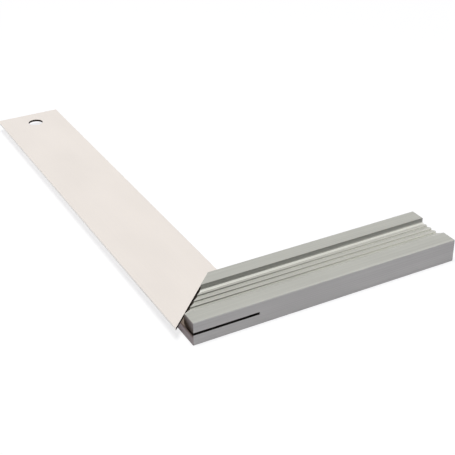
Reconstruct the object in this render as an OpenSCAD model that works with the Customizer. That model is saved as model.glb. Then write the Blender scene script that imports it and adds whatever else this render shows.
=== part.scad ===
// Carpenter's try-and-mitre square: an extruded aluminium stock, a flat steel blade let into a slot
// at its heel, and hidden pins that hold the blade. Millimetres, +Z up, standing on the stock's base.
// Drawn with x along the stock from its heel end, y along the blade from the stock's outer face.

/* [Stock] */
// Length of the stock, from its heel end to its free end
stock_len = 164.5; // [110:0.5:260]
// Width of the stock, from its outer face to the inner face that bears on the work
stock_w = 38.3; // [36:0.2:56]
// Height of the stock
stock_h = 13.8; // [13:0.2:20]
// Bevel that takes the sharpness off the stock's edges
edge_break = 0.3; // [0.2:0.1:1]

/* [Grip] */
// Width of the flat rail beside the outer face
outer_rail_w = 9.6; // [6:0.2:12]
// Width of the flat rail beside the inner face
inner_rail_w = 9.4; // [5:0.2:10]
// Width of the slope from the outer rail down to the grip
ramp_w = 6.8; // [4:0.2:9]
// How far that slope sags below a straight line
ramp_sag = 0.2; // [0.1:0.1:0.8]
// Depth of the grip's floor below the rails
grip_depth = 3.75; // [2.4:0.05:4]
// Radius of the hollow where the grip's floor meets the inner rail
grip_r = 2.4; // [1:0.1:3]
// Angle that the hollow turns up through before it meets that rail's wall
grip_turn = 40; // [30:5:60]
// Number of steps along the grip
step_n = 3; // [2:1:4]
// Height of each step, before its crest is rounded
step_rise = 1.3; // [0.6:0.1:1.4]
// Lean of each step's riser, across the stock
step_lean = 0.15; // [0.1:0.05:0.4]
// Radius of each step's crest
crest_r = 0.5; // [0.2:0.1:0.6]
// Distance from the last riser to the middle of the hollow
last_tread_w = 2.8; // [2:0.1:5]

/* [Mitre] */
// Width of the square heel end that is left before the mitre starts
heel_end_w = 9.7; // [7:0.1:14]

/* [Blade] */
// Length of the blade, from the stock's outer face to its far end
blade_len = 300; // [200:1:500]
// Width of the blade
blade_w = 43.8; // [38:0.2:60]
// Thickness of the blade
blade_t = 1.4; // [1:0.1:1.8]
// Thickness of the stock below the slot that the blade lies in
lower_t = 6.2; // [5:0.05:6.5]
// How far the blade's outer edge stands past the stock's heel end
overhang = 5.4; // [2:0.2:8]
// Width of the relief slit that runs along the mitre
relief_w = 2.8; // [1:0.1:4]
// Distance from the stock's inner face to the centre of the slit's round end
relief_end = 3.3; // [2:0.1:6]
// How far the blade's hidden tongue stays back from the stock's outer face and heel end
tongue_back = 7; // [4:0.5:10]
// Diameter of the hanging hole
hole_d = 10; // [5:0.5:14]
// Distance from the blade's far end to the centre of the hanging hole
hole_from_end = 15.4; // [10:0.1:30]
// Distance from the blade's outer edge to the centre of the hanging hole
hole_from_edge = 22.8; // [14:0.1:26]

/* [Pins] */
// Diameter of the pins that hold the blade
pin_d = 4; // [2.5:0.5:5]
// Distance from the tongue's edges to the pins
pin_inset = 8; // [5:0.5:9]
// Metal left between the pins' blind ends and the grip's floor
pin_cover = 0.8; // [0.6:0.1:1.2]

/* [Fits] */
// Clearance between the blade and each side of its slot
blade_fit = 0.05; // [0.02:0.01:0.15]
// Clearance between the blade's inner edge and the end of its slot
slot_end_fit = 0.05; // [0.05:0.05:0.5]
// Radial clearance of the pins in their holes
pin_fit = 0.02; // [0.01:0.01:0.05]

/* [Hidden] */
$fn = 64;

// Amount by which cutting shapes run past what they cut
past = 1;

// Amount by which a round crest is drawn larger, so that it crosses the lines that it touches
lap = 0.0001;

// Flat facets that make up the hollow slope
ramp_facets = 8;

// The slot stands on the stock's lower half, with the blade between its two sides
slot_h = blade_t + 2 * blade_fit;
blade_floor = lower_t + blade_fit;

// The blade's inner edge, and the end of the slot just beyond it
inner_x = blade_w - overhang;
slot_end = inner_x + slot_end_fit;

// The mitre is the line y = x + heel_end_w, and the blade's heel edge is y = x + heel_edge
heel_edge = heel_end_w + relief_w * sqrt(2);
slit_mid = (heel_end_w + heel_edge) / 2;

// The slit stops short of the stock's inner face, and of the blade's inner edge where that comes first
slit_end_y = min(stock_w, inner_x + slit_mid) - relief_end;

// Pins stand in a corner pattern under the upper half of the stock
pin_x = inner_x - pin_inset;
pin_y = tongue_back + pin_inset;
pin_top = stock_h - grip_depth - pin_cover;
pin_places = [
    [pin_x, pin_y],
    [pin_x, stock_w - pin_inset],
    [(tongue_back + pin_x) / 2, pin_y]
];

// Puts the origin under the middle of the square's box, on the plane of the stock's base
module place() {
    translate([(overhang - stock_len) / 2, -blade_len / 2, 0]) children();
}

// Outline of a rectangle with bevelled corners
module bevelled(w, h) {
    b = edge_break;
    polygon([[b, 0], [w - b, 0], [w, b], [w, h - b], [w - b, h], [b, h], [0, h - b], [0, b]]);
}

function unit(v) = v / norm(v);

// Space between the stock's two rails: a sagging slope, then steps with round crests, whose risers face
// the outer side and whose treads fall alike, then a hollow that turns up to the inner rail's wall
module grip_outline() {
    grip_start = outer_rail_w + ramp_w;
    grip_floor = stock_h - grip_depth;
    wall_y = stock_w - inner_rail_w;
    hollow_y = wall_y - grip_r * sin(grip_turn);
    step_w = (hollow_y - grip_start - last_tread_w) / (step_n - 1);
    feet = [for (i = [0 : step_n - 1]) [grip_start + i * step_w, grip_floor]];

    // Both sides of a crest, seen from its sharp corner, and the circle that rounds it
    crest = [step_lean, step_rise];
    to_foot = unit(-crest);
    to_next = unit([step_w, 0] - crest);
    half_corner = acos(to_foot * to_next) / 2;
    round_start = crest_r / tan(half_corner);
    round_mid = crest + unit(to_foot + to_next) * crest_r / sin(half_corner);

    // The last tread goes on to the wall, and the hollow's circle touches it
    tread_fall = -to_next[1] / to_next[0];
    last_crest = feet[step_n - 1] + crest;
    hollow_z = last_crest[1] - tread_fall * (hollow_y - last_crest[0]) + grip_r / to_next[0];
    wall_z = last_crest[1] - tread_fall * (wall_y - last_crest[0]);
    touch_y = hollow_y + grip_r * to_next[1];

    ramp = [
        for (i = [0 : ramp_facets - 1]) let (t = i / ramp_facets)
            [outer_rail_w + t * ramp_w, stock_h - t * grip_depth - 4 * ramp_sag * t * (1 - t)]
    ];
    steps = [
        for (foot = feet, corner = [[0, 0], crest + round_start * to_foot, crest + round_start * to_next])
            foot + corner
    ];
    difference() {
        polygon(concat(
            [[outer_rail_w, stock_h + past]],
            ramp,
            steps,
            [[wall_y, wall_z], [wall_y, stock_h + past]]
        ));
        for (foot = feet) translate(foot + round_mid) circle(r = crest_r + lap);
        difference() {
            translate([touch_y, wall_z - past])
                square([wall_y - touch_y, hollow_z - wall_z] + [past, past]);
            translate([hollow_y, hollow_z]) circle(r = grip_r);
        }
    }
}

// Bar of the extruded section, with every outer edge bevelled
module stock_bar() {
    intersection() {
        rotate([90, 0, 90]) linear_extrude(stock_len) bevelled(stock_w, stock_h);
        linear_extrude(stock_h) bevelled(stock_len, stock_w);
        translate([0, stock_w, 0])
            rotate([90, 0, 0]) linear_extrude(stock_w) bevelled(stock_len, stock_h);
    }
}

// Space above the slot's floor that the mitre takes off the upper half
module mitre_cut() {
    reach = stock_w - heel_end_w + past;
    translate([0, 0, lower_t])
        linear_extrude(stock_h)
            polygon([[-past, heel_end_w - past], [reach, heel_end_w + reach], [-past, heel_end_w + reach]]);
}

// Slot for the blade, sawn in from the heel end through the full width
module blade_slot() {
    translate([-past, -past, lower_t]) cube([slot_end + past, stock_w + 2 * past, slot_h]);
}

module pin_holes() {
    for (p = pin_places)
        translate([p[0], p[1], -past]) cylinder(h = pin_top + past, r = pin_d / 2 + pin_fit);
}

module stock() {
    color([0.72, 0.72, 0.69]) place() difference() {
        stock_bar();
        translate([-past, 0, 0])
            rotate([90, 0, 90]) linear_extrude(stock_len + 2 * past) grip_outline();
        blade_slot();
        mitre_cut();
        pin_holes();
    }
}

// Slit along the mitre, open at the heel and round at its inner end
module relief_slit() {
    run = 2 * stock_w;
    translate([slit_end_y - slit_mid, slit_end_y]) rotate(45) {
        translate([-run, -relief_w / 2]) square([run, relief_w]);
        circle(d = relief_w);
    }
}

// Corner between the slit and the tongue, which is left out of the blade
module heel_corner() {
    left = -overhang - past;
    right = tongue_back;
    polygon([[left, -past], [right, -past], [right, right + slit_mid], [left, left + slit_mid]]);
}

module blade() {
    color([0.91, 0.88, 0.86]) place() translate([0, 0, blade_floor]) difference() {
        linear_extrude(blade_t) difference() {
            translate([-overhang, tongue_back]) square([blade_w, blade_len - tongue_back]);
            relief_slit();
            heel_corner();
        }
        translate([hole_from_edge - overhang, blade_len - hole_from_end, -past])
            cylinder(h = blade_t + 2 * past, d = hole_d);
        translate([0, 0, -blade_floor]) pin_holes();
    }
}

module blade_pins() {
    color([0.6, 0.61, 0.63]) place()
        for (p = pin_places) translate([p[0], p[1], 0]) cylinder(h = pin_top, d = pin_d);
}

stock();
blade();
blade_pins();
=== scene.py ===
from math import radians

import bmesh
import bpy
from mathutils import Matrix, Vector


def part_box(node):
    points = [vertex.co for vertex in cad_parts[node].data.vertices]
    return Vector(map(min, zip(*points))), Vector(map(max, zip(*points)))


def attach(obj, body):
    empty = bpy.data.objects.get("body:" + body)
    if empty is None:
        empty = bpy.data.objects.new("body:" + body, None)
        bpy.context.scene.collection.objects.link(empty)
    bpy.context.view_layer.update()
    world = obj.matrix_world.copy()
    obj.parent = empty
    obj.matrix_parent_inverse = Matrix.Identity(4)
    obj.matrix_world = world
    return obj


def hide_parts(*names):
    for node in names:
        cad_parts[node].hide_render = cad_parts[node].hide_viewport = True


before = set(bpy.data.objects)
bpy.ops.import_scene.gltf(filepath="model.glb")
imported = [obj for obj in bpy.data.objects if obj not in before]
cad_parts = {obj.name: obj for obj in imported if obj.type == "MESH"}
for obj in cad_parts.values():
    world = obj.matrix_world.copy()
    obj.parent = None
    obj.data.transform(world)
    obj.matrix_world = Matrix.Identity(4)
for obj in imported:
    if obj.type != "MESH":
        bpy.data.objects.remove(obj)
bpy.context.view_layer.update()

MM = 0.001
WHITE = (1, 1, 1)

# Camera, solved from the photo's straight edges: place in metres, angles in degrees, lens in millimetres
CAMERA_PLACE = Vector((-0.2562, -0.5170, 0.3026))
CAMERA_HEADING = -28.2
CAMERA_PITCH = 29.95
CAMERA_ROLL = -0.61
CAMERA_LENS = 79.83
CAMERA_SENSOR = 36.0

# Rounding of the sharp edges that the solids leave, per piece, and the facets across each rounding
STOCK_EASE = 0.15 * MM
BLADE_EASE = 0.1 * MM
PIN_EASE = 0.15 * MM
EASE_FACETS = 2

# Edges that turn more than SHARP are rounded, and faces that turn less than FLAT are joined
SHARP = radians(24)
FLAT = radians(0.5)

# Points this close together are one point
WELD = 0.001 * MM

# Boxes of the two nodes whose faces get their finish by where they lie, and the stock's millimetres
STOCK_LOW, STOCK_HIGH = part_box("stock")
BLADE_LOW, BLADE_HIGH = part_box("blade")
STOCK_LEN = (STOCK_HIGH.x - STOCK_LOW.x) / MM

# A face this close to a side of a node's box lies beside it or on its bevel, or on the side itself
NEAR = 0.4 * MM
ON_BOX = 0.01 * MM

# Directions on the stock: along it from the heel, across it from the outer face, and up from its base
ALONG = (1, 0, 0)
ACROSS = (0, 1, 0)
UP = (0, 0, 1)

# Parts of the grip with finishes of their own, as distances across the stock
STEPS_FROM = 16.3 * MM
HOLLOW_FROM = 26.4 * MM
RAIL_FROM = 29 * MM

# Least part of a normal that makes a face lie square to an axis, or cut across the stock
SQUARE = 0.9
CUT = 0.1

# Largest y of the normals of the grip's risers, crests, wall and hollow
RISER_LEAN = -0.6
CREST_LEAN = 0.2
WALL_LEAN = -0.45
HOLLOW_LEAN = 0.25

# Floor: side, drop and distances from the middle in metres, then the shares of its white near the
# middle that are its own and the lamp's, and its tones
FLOOR_SIDE = 8.0
FLOOR_DROP = 0.02 * MM
FLOOR_NEAR = 0.3
FLOOR_FAR = 1.2
FLOOR_GLOW = 0.76
FLOOR_LIT = 0.29
FLOOR_TONES = ((0.93, 0.93, 0.97), (0.945, 0.945, 0.985))

# Light: a fill from all round, and a lamp with its place and side in metres and its power in watts
FILL_LIGHT = (0.11, 0.11, 0.15)
LAMP_PLACE = Vector((-0.2, -0.1, 2.4))
LAMP_SIDE = 1.0
LAMP_POWER = 51
LAMP_COLOUR = (1.0, 1.0, 0.95)

# Numbers of a mix node's sockets for colours, which share their names with its sockets for numbers
MIX_FIRST = 6
MIX_SECOND = 7
MIX_RESULT = 2


def mix_colours(tree, share, first, second):
    """Colour that goes from first to second with share."""
    mix = tree.nodes.new("ShaderNodeMix")
    mix.data_type = "RGBA"
    tree.links.new(share, mix.inputs["Factor"])
    mix.inputs[MIX_FIRST].default_value = (*first, 1)
    mix.inputs[MIX_SECOND].default_value = (*second, 1)
    return mix.outputs[MIX_RESULT]


class Surface:
    """A node material: its Principled shader, and the nodes that feed it."""

    def __init__(self, name, **sockets):
        self.material = bpy.data.materials.new(name)
        self.material.use_nodes = True
        self.tree = self.material.node_tree
        self.shader = self.tree.nodes["Principled BSDF"]
        self.feed(self.shader, {key.replace("_", " "): value for key, value in sockets.items()})

    def feed(self, node, sockets):
        """Sets a node's inputs to values, or links them to the outputs of other nodes."""
        for name, value in sockets.items():
            socket = node.inputs[name]
            if isinstance(value, bpy.types.NodeSocket):
                self.tree.links.new(value, socket)
            else:
                socket.default_value = value

    def add(self, kind, sockets, output=0, **settings):
        """Adds a node and returns one of its outputs."""
        node = self.tree.nodes.new(kind)
        for name, value in settings.items():
            setattr(node, name, value)
        self.feed(node, sockets)
        return node.outputs[output]

    def place(self):
        """Where the shaded point lies, in metres in the CAD's frame."""
        return self.add("ShaderNodeTexCoord", {}, "Object")

    def noise(self, cell, detail=3.0):
        """Noise from 0 to 1 whose cells measure cell millimetres along x, y and z."""
        stretched = self.add("ShaderNodeMapping",
                             {"Vector": self.place(), "Scale": [1 / (size * MM) for size in cell]})
        return self.add("ShaderNodeTexNoise", {"Vector": stretched, "Scale": 1.0, "Detail": detail})

    def remap(self, value, low, high, start=0.3, end=0.7):
        """Value that goes from low to high between start and end, by default the middle of a noise."""
        return self.add("ShaderNodeMapRange",
                        {"Value": value, "From Min": start, "From Max": end, "To Min": low, "To Max": high})

    def ramp(self, direction, start, end, low=0, high=1):
        """Value that goes from low to high between start and end, in millimetres along direction.

        They are measured from the stock's lowest corner, at the heel and the outer face.
        """
        scaled = Vector(direction) / MM
        corner = STOCK_LOW.dot(scaled)
        reach = self.add("ShaderNodeVectorMath", {0: self.place(), 1: scaled}, "Value",
                         operation="DOT_PRODUCT")
        return self.remap(reach, low, high, start=start + corner, end=end + corner)

    def brush(self, lines, tones, roughness, depth, shade=None):
        """Colour, roughness and a bump of depth millimetres that follow lines.

        shade, a colour or a number, makes the colour darker or lighter from place to place.
        """
        colour = mix_colours(self.tree, self.remap(lines, 0, 1), *tones)
        if shade:
            colour = self.add("ShaderNodeVectorMath", {0: colour, 1: shade}, operation="MULTIPLY")
        bump = self.add("ShaderNodeBump", {"Height": lines, "Distance": depth * MM})
        self.feed(self.shader, {
            "Base Color": colour, "Roughness": self.remap(lines, *roughness), "Normal": bump})
        return self.material


def clouds(surface):
    """Faint, wide clouds, as light as they are dark."""
    return surface.remap(surface.noise((30, 12, 12), detail=2), 0.97, 1.03)


def rail_clouds_and_painted_highlight(surface):
    """Clouds, and a pale line of painted highlight along the outer rail's edge."""
    return surface.ramp(ACROSS, start=0.3, end=2.0, low=1.18, high=clouds(surface))


def painted_light_along_stock(surface, direction, start, end, first, second):
    """Painted light and shade that goes from first to second between start and end, in millimetres along
    direction.

    Both are pairs of factors, for the stock's heel and for its free end.
    """
    low, high = (surface.ramp(ALONG, 0, STOCK_LEN, *pair) for pair in (first, second))
    return surface.ramp(direction, start, end, low, high)


def riser_painted_light_and_shade(surface):
    """Painted light at a step's foot; under its crest, painted shade at the heel and painted light at the
    free end.
    """
    return painted_light_along_stock(surface, UP, start=10.3, end=10.5, first=(1.8, 1.95), second=(0.41, 1.95))


def wall_painted_light_and_shade(surface):
    """Painted shade at the foot of the wall at the heel, and painted highlight there at the free end."""
    return painted_light_along_stock(surface, UP, start=11.0, end=11.8, first=(0.62, 2.0), second=(1.02, 1.12))


def hollow_painted_highlight(surface):
    """A band of painted highlight that lies beside the last tread at the heel and by the wall at the free
    end.
    """
    return painted_light_along_stock(surface, ACROSS, start=27.4, end=28.2, first=(1.03, 0.74), second=(0.79, 1.02))


def drawn_aluminium(name, tones, shade=clouds):
    """Satin anodised face with fine lines along the extrusion, and clouds or painted light and shade from the
    nodes that shade adds.
    """
    surface = Surface(name, Metallic=0.1, Specular_IOR_Level=0.3)
    lines = surface.noise((120, 0.6, 0.6), detail=5)
    return surface.brush(lines, tones, roughness=(0.5, 0.4), depth=0.006, shade=shade(surface))


def painted_highlight_aluminium():
    """The hollow of the grip, far paler than the rails as a painted highlight."""
    surface = Surface("stock_hollow", Metallic=0.15)
    lines = surface.noise((120, 0.3, 0.3), detail=4)
    tones = ((0.84, 0.84, 0.785), (0.92, 0.92, 0.86))
    return surface.brush(lines, tones, roughness=(0.28, 0.38), depth=0.003, shade=hollow_painted_highlight(surface))


def sawn_aluminium(name, tones, painted_shade=WHITE, direction=UP, start=0, end=1):
    """Sawn face, with painted shade from start, in millimetres along direction, fading to clean metal at end.
    """
    surface = Surface(name, Metallic=0.1, Specular_IOR_Level=0.0)
    marks = surface.noise((0.35, 0.35, 40))
    shade = mix_colours(surface.tree, surface.ramp(direction, start, end), painted_shade, WHITE)
    return surface.brush(marks, tones, roughness=(0.4, 0.5), depth=0.004, shade=shade)


def slot_aluminium():
    """The slot, dark brown with painted shade at the mouth of the slit and near black with painted shade
    further in.
    """
    surface = Surface("stock_slot", Metallic=0.1, Specular_IOR_Level=0.2)
    marks = surface.noise((0.4, 0.4, 40))
    tones = ((0.19, 0.15, 0.12), (0.25, 0.20, 0.17))
    # Painted shade: darker the further into the slot
    inside = surface.ramp(direction=(1, -0.5, 0), start=-4.95, end=-1.95)
    shade = mix_colours(surface.tree, inside, WHITE, (0.2, 0.2, 0.2))
    return surface.brush(marks, tones, roughness=(0.5, 0.65), depth=0.006, shade=shade)


def eased_aluminium():
    """The bevels along the stock's long edges, unevenly worn."""
    surface = Surface("stock_edge", Metallic=0.35)
    wear = surface.noise((6, 1.5, 1.5), detail=4)
    tones = ((0.46, 0.46, 0.435), (0.55, 0.55, 0.52))
    return surface.brush(wear, tones, roughness=(0.35, 0.5), depth=0.002)


def satin_steel():
    """The blade's faces, with a fine grain along the blade and hardly any clouds."""
    surface = Surface("blade_satin", Metallic=0.5)
    grain = surface.noise((0.25, 60, 60), detail=4)
    tones = ((0.845, 0.785, 0.735), (0.87, 0.81, 0.76))
    shade = surface.remap(surface.noise((25, 60, 60), detail=2), 0.98, 1.02)
    return surface.brush(grain, tones, roughness=(0.36, 0.46), depth=0.002, shade=shade)


def ground_steel():
    """The blade's straight edges, ground true."""
    surface = Surface("blade_ground", Metallic=0.7)
    marks = surface.noise((0.2, 0.2, 8))
    tones = ((0.72, 0.69, 0.66), (0.80, 0.77, 0.74))
    return surface.brush(marks, tones, roughness=(0.3, 0.45), depth=0.004)


def dark_cut_steel():
    """The dark, striated wall at the heel and in the hole."""
    surface = Surface("blade_dark_cut", Metallic=0.3, Specular_IOR_Level=0.2)
    marks = surface.noise((0.25, 0.25, 10))
    tones = ((0.016, 0.009, 0.005), (0.045, 0.028, 0.018))
    return surface.brush(marks, tones, roughness=(0.45, 0.6), depth=0.01)


def pin_steel():
    """Pins ground flush with the stock's base."""
    surface = Surface("pin_end", Metallic=0.95)
    marks = surface.noise((0.15, 8, 8))
    tones = ((0.42, 0.43, 0.45), (0.52, 0.53, 0.55))
    return surface.brush(marks, tones, roughness=(0.25, 0.4), depth=0.004)


STOCK_FINISHES = {
    # Rails: clouds, and a pale line of painted highlight along the outer edge
    "rail": drawn_aluminium("stock_rail", ((0.44, 0.44, 0.405), (0.515, 0.515, 0.475)), rail_clouds_and_painted_highlight),
    # Front and back faces: lighter and bluer than the rails, painted light
    "side": drawn_aluminium("stock_side", ((0.485, 0.475, 0.455), (0.57, 0.558, 0.535))),
    # Treads and the ramp: lighter than the rails, painted light on faces that lean away from the lamp
    "tread": drawn_aluminium("stock_tread", ((0.485, 0.485, 0.445), (0.56, 0.56, 0.515))),
    # Crests of the steps: lighter than the rails, painted light on their rounded fronts
    "crest": drawn_aluminium("stock_crest", ((0.51, 0.51, 0.47), (0.59, 0.59, 0.54))),
    # Wall: darker than the rails, painted shade of the recess, with painted light and shade at its foot
    "wall": drawn_aluminium("stock_wall", ((0.325, 0.325, 0.297), (0.38, 0.38, 0.348)), wall_painted_light_and_shade),
    # Risers: painted shade under the crests, and painted light at their feet and towards the free end
    "riser": drawn_aluminium("stock_riser", ((0.42, 0.42, 0.385), (0.48, 0.48, 0.44)), riser_painted_light_and_shade),
    # Hollow: far paler than the rails, a painted highlight
    "hollow": painted_highlight_aluminium(),
    # Blunt end above the slot: darker than the other sawn faces, painted shade and reflection, deepest by the
    # slot
    "blunt": sawn_aluminium("stock_blunt_end", ((0.275, 0.25, 0.24), (0.35, 0.315, 0.30)),
                            painted_shade=(0.15, 0.11, 0.075), direction=(0, -0.35, 1), start=7.0, end=13.5),
    # End below the slot: darker than the other sawn faces, painted shade, deepest just under the blade
    "lower": sawn_aluminium("stock_lower_end", ((0.32, 0.28, 0.275), (0.40, 0.355, 0.35)),
                            painted_shade=(0.36, 0.27, 0.21), start=6.2, end=4.2),
    "sawn": sawn_aluminium("stock_sawn", ((0.43, 0.42, 0.405), (0.53, 0.52, 0.50))),
    # Slot: dark brown, painted shade, near black further in
    "slot": slot_aluminium(),
    "edge": eased_aluminium(),
}
BLADE_FINISHES = {"satin": satin_steel(), "ground": ground_steel(), "dark_cut": dark_cut_steel()}
PIN_FINISHES = {"end": pin_steel()}


def stock_finish(face):
    """The slot, the heel's ends and the other cuts first, then what is extruded, from side to side."""
    normal, middle = face.normal, face.calc_center_median()
    if abs(normal.z) > SQUARE and BLADE_LOW.z - NEAR < middle.z < BLADE_HIGH.z + NEAR:
        return "slot"
    if middle.x < STOCK_LOW.x + NEAR:
        return "blunt" if middle.z > BLADE_HIGH.z else "lower"
    if abs(normal.x) > CUT:
        return "sawn"
    across = middle.y - STOCK_LOW.y
    if min(across, STOCK_HIGH.y - middle.y) < NEAR:
        return "side" if abs(normal.y) > SQUARE else "edge"
    if HOLLOW_FROM < across < RAIL_FROM:
        if normal.y < WALL_LEAN:
            return "wall"
        return "hollow" if normal.y < HOLLOW_LEAN else "tread"
    if STEPS_FROM < across < HOLLOW_FROM:
        if normal.y < RISER_LEAN:
            return "riser"
        return "crest" if normal.y < CREST_LEAN else "tread"
    return "tread" if normal.y > CREST_LEAN else "rail"


def blade_finish(face):
    """Satin sheet, ground straight edges on the sheet's box, and a dark wall at the heel and in the hole."""
    if abs(face.normal.z) > SQUARE:
        return "satin"
    middle = face.calc_center_median()
    from_box = min(middle.x - BLADE_LOW.x, BLADE_HIGH.x - middle.x, BLADE_HIGH.y - middle.y)
    return "ground" if from_box < ON_BOX else "dark_cut"


def pin_finish(face):
    """All of a pin is alike."""
    return "end"


def eased_copy(node, name, ease, finishes, choose, crisp=None):
    """A copy of a CAD node with its facets joined and its outward edges rounded by ease metres.

    choose(face) names each face's finish, and a rounded edge takes on those of the faces beside it.
    Faces with the finish crisp keep sharp edges.
    """
    places = {key: place for place, key in enumerate(finishes)}
    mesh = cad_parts[node].data.copy()
    mesh.materials.clear()
    for material in finishes.values():
        mesh.materials.append(material)
    shape = bmesh.new()
    shape.from_mesh(mesh)
    bmesh.ops.remove_doubles(shape, verts=shape.verts, dist=WELD)
    bmesh.ops.dissolve_limit(shape, angle_limit=FLAT, verts=shape.verts, edges=shape.edges)
    for face in shape.faces:
        face.smooth = True
        face.material_index = places[choose(face)]
    weight = shape.edges.layers.float.new("bevel_weight_edge")
    for line in shape.edges:
        kept = any(face.material_index == places.get(crisp) for face in line.link_faces)
        if line.is_convex and line.calc_face_angle(0) > SHARP and not kept:
            line[weight] = 1
    shape.to_mesh(mesh)
    shape.free()
    mesh.set_sharp_from_angle(angle=SHARP)
    piece = bpy.data.objects.new(name, mesh)
    bpy.context.scene.collection.objects.link(piece)
    bevel = piece.modifiers.new("eased_edges", "BEVEL")
    bevel.width = ease
    bevel.segments = EASE_FACETS
    bevel.limit_method = "WEIGHT"
    bevel.harden_normals = True
    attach(piece, "root")
    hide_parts(node)


def seen_plainly(tree):
    """1 for what the camera sees straight, in a reflection or through glass, and 0 for spread light."""
    path = tree.nodes.new("ShaderNodeLightPath")
    seen = path.outputs["Is Camera Ray"]
    for ray in ("Is Glossy Ray", "Is Transmission Ray"):
        either = tree.nodes.new("ShaderNodeMath")
        either.operation = "MAXIMUM"
        tree.links.new(seen, either.inputs[0])
        tree.links.new(path.outputs[ray], either.inputs[1])
        seen = either.outputs[0]
    return seen


def make_floor():
    """White paper, part of whose white is its own where it is seen, so that the shadow on it stays pale.

    Away from the object, where the lamp fails, all of its white is its own.
    """
    surface = Surface("floor_paper", Emission_Color=(*WHITE, 1), Specular_IOR_Level=0.0)
    seen = seen_plainly(surface.tree)
    away = surface.add("ShaderNodeVectorMath", {0: surface.place()}, "Value", operation="LENGTH")
    lit = surface.remap(away, FLOOR_LIT, 0, start=FLOOR_NEAR, end=FLOOR_FAR)
    glow = surface.remap(away, FLOOR_GLOW, 1, start=FLOOR_NEAR, end=FLOOR_FAR)
    surface.brush(surface.noise((3, 3, 3)), FLOOR_TONES, roughness=(0.85, 0.95), depth=0.02,
                  shade=surface.remap(seen, 1, lit, start=0, end=1))
    surface.feed(surface.shader, {"Emission Strength": surface.remap(seen, 0, glow, start=0, end=1)})
    bpy.ops.mesh.primitive_plane_add(size=FLOOR_SIDE, location=(0, 0, -FLOOR_DROP))
    floor = bpy.context.object
    floor.name = "floor"
    floor.data.materials.append(surface.material)


def make_world():
    """A pale fill, and white where the camera or a reflection looks past the floor."""
    world = bpy.data.worlds.new("studio")
    bpy.context.scene.world = world
    world.use_nodes = True
    tree = world.node_tree
    colour = mix_colours(tree, seen_plainly(tree), FILL_LIGHT, WHITE)
    tree.links.new(colour, tree.nodes["Background"].inputs["Color"])


def add_lamp():
    """A soft box overhead, kept out of reflections, where it would turn the pale blade white."""
    lamp = bpy.data.lights.new("overhead", "AREA")
    lamp.shape = "SQUARE"
    lamp.size = LAMP_SIDE
    lamp.energy = LAMP_POWER
    lamp.color = LAMP_COLOUR
    holder = bpy.data.objects.new("overhead", lamp)
    holder.location = LAMP_PLACE
    holder.rotation_euler = (-LAMP_PLACE).to_track_quat("-Z", "Y").to_euler()
    holder.visible_glossy = False
    bpy.context.scene.collection.objects.link(holder)


def add_camera():
    """The photo's camera: level at first, then rolled, tipped down by its pitch and turned to its heading."""
    lens = bpy.data.cameras.new("camera")
    lens.lens = CAMERA_LENS
    lens.sensor_width = CAMERA_SENSOR
    lens.sensor_fit = "HORIZONTAL"
    camera = bpy.data.objects.new("camera", lens)
    turn = (Matrix.Rotation(radians(CAMERA_HEADING), 4, "Z")
            @ Matrix.Rotation(radians(90 - CAMERA_PITCH), 4, "X")
            @ Matrix.Rotation(radians(CAMERA_ROLL), 4, "Z"))
    camera.matrix_world = Matrix.Translation(CAMERA_PLACE) @ turn
    bpy.context.scene.collection.objects.link(camera)
    bpy.context.scene.camera = camera


eased_copy("stock", "stock_bar", STOCK_EASE, STOCK_FINISHES, stock_finish, "slot")
eased_copy("blade", "blade_sheet", BLADE_EASE, BLADE_FINISHES, blade_finish, "dark_cut")
eased_copy("blade_pins", "pins", PIN_EASE, PIN_FINISHES, pin_finish)
make_floor()
make_world()
add_lamp()
add_camera()
bpy.context.scene.view_settings.view_transform = "Standard"
